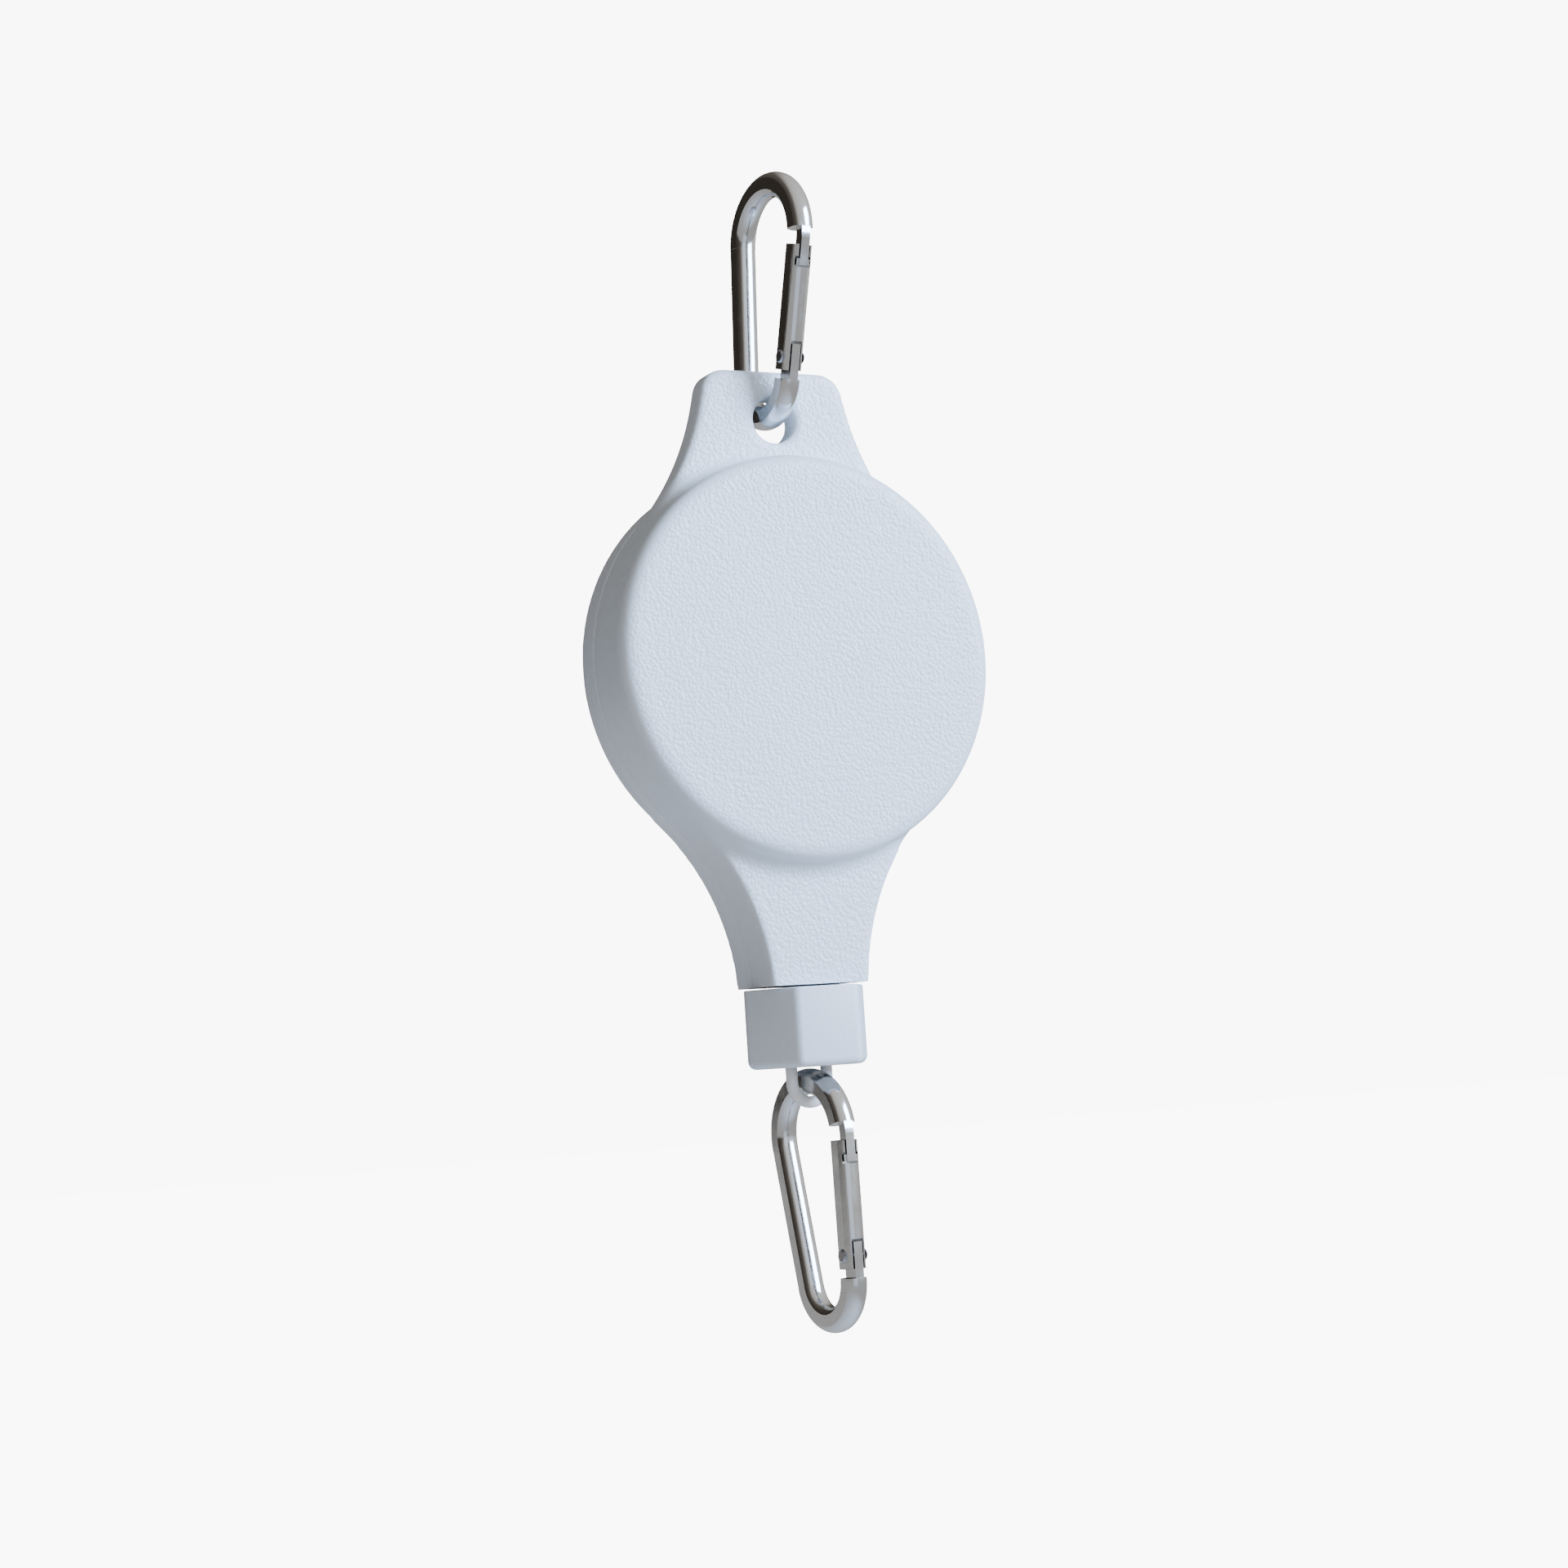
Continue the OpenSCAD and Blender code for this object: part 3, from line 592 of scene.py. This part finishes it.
def moulded_abs(name, grained):
    """Moulded white ABS: a spark-eroded mould leaves pebbles on the faces, and the walls stay satin."""
    material, tree, shader, coords = start_material(name, 0.0, 1.53)
    place = coords.outputs["Object"]
    cloud = add_node(tree, "ShaderNodeTexNoise", inputs={
        "Vector": place, "Scale": per_mm(24), "Detail": 2.0})
    tint = add_node(tree, "ShaderNodeMix", {"data_type": "RGBA"}, {"Factor": cloud.outputs["Fac"]})
    tint.inputs[6].default_value = srgb("#D9E2EB")
    tint.inputs[7].default_value = srgb("#E0E8EF")
    tree.links.new(tint.outputs[2], shader.inputs["Base Color"])
    satin = add_node(tree, "ShaderNodeTexNoise", inputs={"Vector": place, "Scale": per_mm(3), "Detail": 4.0})
    gloss = add_node(tree, "ShaderNodeMapRange", inputs={
        "Value": satin.outputs["Fac"], "To Min": 0.28, "To Max": 0.42})
    tree.links.new(gloss.outputs["Result"], shader.inputs["Roughness"])
    # Round pebbles about 0.65 mm apart, which catch the light as small glints
    pebbles = add_node(tree, "ShaderNodeTexVoronoi", {"feature": "SMOOTH_F1"}, {
        "Vector": place, "Scale": per_mm(0.65), "Smoothness": 0.6})
    normal = add_node(tree, "ShaderNodeSeparateXYZ", inputs={"Vector": coords.outputs["Normal"]})
    facing = add_node(tree, "ShaderNodeMapRange", inputs={
        "Value": normal.outputs["Y"], "From Min": -0.80, "From Max": -0.98, "To Min": 0.04,
        "To Max": 1.0 if grained else 0.12})
    bump = add_node(tree, "ShaderNodeBump", {"invert": True}, {
        "Strength": facing.outputs["Result"], "Distance": 0.14 * MM, "Height": pebbles.outputs["Distance"]})
    tree.links.new(bump.outputs["Normal"], shader.inputs["Normal"])
    return material


def polished_aluminium():
    """Drawn and tumbled aluminium bar: bright, with faint draw lines and small handling marks."""
    material, tree, shader, coords = start_material("polished_aluminium", 1.0)
    shader.inputs["Base Color"].default_value = srgb("#D3D5D6")
    lines = add_node(tree, "ShaderNodeMapping", inputs={
        "Vector": coords.outputs["Object"], "Scale": (1.0, 1.0, 0.06)})
    drawn = add_node(tree, "ShaderNodeTexNoise", inputs={
        "Vector": lines.outputs["Vector"], "Scale": per_mm(0.35), "Detail": 3.0})
    marks = add_node(tree, "ShaderNodeTexNoise", inputs={
        "Vector": coords.outputs["Object"], "Scale": per_mm(4), "Detail": 5.0})
    gloss = add_node(tree, "ShaderNodeMapRange", inputs={
        "Value": marks.outputs["Fac"], "From Min": 0.3, "From Max": 0.7, "To Min": 0.08, "To Max": 0.20})
    tree.links.new(gloss.outputs["Result"], shader.inputs["Roughness"])
    bump = add_node(tree, "ShaderNodeBump", inputs={
        "Strength": 0.25, "Distance": 0.02 * MM, "Height": drawn.outputs["Fac"]})
    tree.links.new(bump.outputs["Normal"], shader.inputs["Normal"])
    return material


def bright_steel():
    """Plated spring steel, stamped and turned: darker than the aluminium, with fine tool marks."""
    material, tree, shader, coords = start_material("bright_steel", 1.0)
    shader.inputs["Base Color"].default_value = srgb("#A9ABAE")
    marks = add_node(tree, "ShaderNodeTexNoise", inputs={
        "Vector": coords.outputs["Object"], "Scale": per_mm(0.5), "Detail": 4.0})
    gloss = add_node(tree, "ShaderNodeMapRange", inputs={
        "Value": marks.outputs["Fac"], "To Min": 0.22, "To Max": 0.38})
    tree.links.new(gloss.outputs["Result"], shader.inputs["Roughness"])
    bump = add_node(tree, "ShaderNodeBump", inputs={
        "Strength": 0.3, "Distance": 0.01 * MM, "Height": marks.outputs["Fac"]})
    tree.links.new(bump.outputs["Normal"], shader.inputs["Normal"])
    return material


def braided_nylon():
    """Braided white nylon line: small strands crossing at a slant, soft and slightly fuzzy."""
    material, tree, shader, coords = start_material("braided_nylon", 0.0, 1.53)
    shader.inputs["Base Color"].default_value = srgb("#EFEEEA")
    shader.inputs["Roughness"].default_value = 0.7
    heights = []
    for turn in (45, -45):
        slant = add_node(tree, "ShaderNodeMapping", inputs={
            "Vector": coords.outputs["Object"], "Rotation": (0, math.radians(turn), 0)})
        # One strand every 0.8 mm
        heights.append(add_node(tree, "ShaderNodeTexWave", {"wave_profile": "SIN", "bands_direction": "X"}, {
            "Vector": slant.outputs["Vector"], "Scale": per_mm(0.8) / 20, "Distortion": 0.4}).outputs["Fac"])
    woven = add_node(tree, "ShaderNodeMath", {"operation": "MAXIMUM"})
    for i, height in enumerate(heights):
        tree.links.new(height, woven.inputs[i])
    bump = add_node(tree, "ShaderNodeBump", inputs={
        "Strength": 0.7, "Distance": 0.15 * MM, "Height": woven.outputs["Value"]})
    tree.links.new(bump.outputs["Normal"], shader.inputs["Normal"])
    return material


def moulded_acetal():
    """Moulded acetal: waxy off-white, smoother than ABS, with a faint flow pattern."""
    material, tree, shader, coords = start_material("moulded_acetal", 0.0, 1.48)
    shader.inputs["Base Color"].default_value = srgb("#E9E8E2")
    flow = add_node(tree, "ShaderNodeTexNoise", inputs={
        "Vector": coords.outputs["Object"], "Scale": per_mm(2), "Detail": 3.0, "Distortion": 1.0})
    gloss = add_node(tree, "ShaderNodeMapRange", inputs={
        "Value": flow.outputs["Fac"], "To Min": 0.28, "To Max": 0.42})
    tree.links.new(gloss.outputs["Result"], shader.inputs["Roughness"])
    bump = add_node(tree, "ShaderNodeBump", inputs={
        "Strength": 0.15, "Distance": 0.02 * MM, "Height": flow.outputs["Fac"]})
    tree.links.new(bump.outputs["Normal"], shader.inputs["Normal"])
    return material


def dress(piece, material):
    piece.data.materials.clear()
    piece.data.materials.append(material)


grained_abs = moulded_abs("grained_white_abs", grained=True)
satin_abs = moulded_abs("satin_white_abs", grained=False)
slot_finish = {
    "white_abs": satin_abs,
    "polished_aluminium": polished_aluminium(),
    "spring_steel": bright_steel(),
    "nylon_line": braided_nylon(),
    "acetal": moulded_acetal(),
}
for row in frame["record"]["subparts"]:
    dress(nodes[row["node"]], slot_finish[row["material_slot"]])

for piece, node, body, finish in (
    (make_front(), "front_shell", "housing", grained_abs),
    (make_back(), "rear_cover", "housing", grained_abs),
    (make_block(), "stop_block", "stop_block", satin_abs),
):
    smooth_faces(piece)
    dress(piece, finish)
    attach(piece, body)
    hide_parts(node)


line, line_top, line_foot = make_line()
dress(line, slot_finish["nylon_line"])
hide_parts("line_run")
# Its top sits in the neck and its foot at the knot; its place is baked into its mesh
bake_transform(line)


# ---- room ----------------------------------------------------------------------------------

FLOOR_Z = -1.15
FLOOR_SIZE = 60
WALL_BRIGHTNESS = 9.0
# The room is dark behind and to the left, and opens to a bright side at the upper right
BRIGHT_SIDE = (0.62, -0.62, 0.48)
ROOM_TONES = ((0.0, "#2C2824"), (0.34, "#48423C"), (0.52, "#6C655E"), (0.68, "#DEDAD6"), (1.0, "#FFFFFF"))
KEY_COLOUR = "#BFD8FF"
# Each light's name, place, size in metres and power in watts
LIGHTS = (
    ("key_window", (0.62, -0.66, 0.28), 0.6, 34.0),
    ("soft_fill", (-0.2, -1.2, -0.1), 0.8, 1.2),
)


def make_room():
    """A plain pale floor under the line's full reach, and soft light from the upper right."""
    bm = bmesh.new()
    bmesh.ops.create_grid(
        bm, x_segments=1, y_segments=1, size=FLOOR_SIZE / 2, matrix=Matrix.Translation((0, 0, FLOOR_Z)))
    floor = finish_piece("floor", bm)
    material, tree, shader, coords = start_material("matt_white_paper", 0.0)
    shader.inputs["Base Color"].default_value = srgb("#F4F5F6")
    shader.inputs["Roughness"].default_value = 0.9
    # As white to the eye as the wall behind it, without lighting the reel from below
    shader.inputs["Emission Color"].default_value = srgb("#FFFFFF")
    sight = add_node(tree, "ShaderNodeLightPath")
    glow = add_node(tree, "ShaderNodeMath", {"operation": "MULTIPLY"})
    tree.links.new(sight.outputs["Is Camera Ray"], glow.inputs[0])
    glow.inputs[1].default_value = WALL_BRIGHTNESS
    tree.links.new(glow.outputs["Value"], shader.inputs["Emission Strength"])
    dress(floor, material)
    for name, place, size, power in LIGHTS:
        light = bpy.data.objects.new(name, bpy.data.lights.new(name, "AREA"))
        light.data.size = size
        light.data.energy = power
        light.data.color = srgb(KEY_COLOUR)[:3]
        light.location = place
        aim = Vector((0, 0, DRUM_Z)) - light.location
        light.rotation_euler = aim.to_track_quat("-Z", "Y").to_euler()
        bpy.context.scene.collection.objects.link(light)
    world = bpy.data.worlds.new("pale_room")
    bpy.context.scene.world = world
    world.use_nodes = True
    tree = world.node_tree
    seen = tree.nodes["Background"]
    seen.inputs["Color"].default_value = srgb("#FFFFFF")
    seen.inputs["Strength"].default_value = WALL_BRIGHTNESS
    heading = add_node(tree, "ShaderNodeTexCoord")
    toward = add_node(tree, "ShaderNodeVectorMath", {"operation": "DOT_PRODUCT"})
    tree.links.new(heading.outputs["Generated"], toward.inputs[0])
    toward.inputs[1].default_value = BRIGHT_SIDE
    share = add_node(tree, "ShaderNodeMapRange", inputs={"Value": toward.outputs["Value"], "From Min": -1.0})
    tones = add_node(tree, "ShaderNodeValToRGB", inputs={"Fac": share.outputs["Result"]})
    ramp = tones.color_ramp.elements
    for _ in range(len(ROOM_TONES) - len(ramp)):
        ramp.new(0.5)
    for stop, (at, tone) in zip(ramp, ROOM_TONES):
        stop.position = at
        stop.color = srgb(tone)
    lit = add_node(tree, "ShaderNodeBackground", inputs={"Color": tones.outputs["Color"], "Strength": 1.0})
    view = add_node(tree, "ShaderNodeLightPath")
    both = add_node(tree, "ShaderNodeMixShader", inputs={"Fac": view.outputs["Is Camera Ray"]})
    tree.links.new(lit.outputs["Background"], both.inputs[1])
    tree.links.new(seen.outputs["Background"], both.inputs[2])
    tree.links.new(both.outputs["Shader"], tree.nodes["World Output"].inputs["Surface"])


make_room()
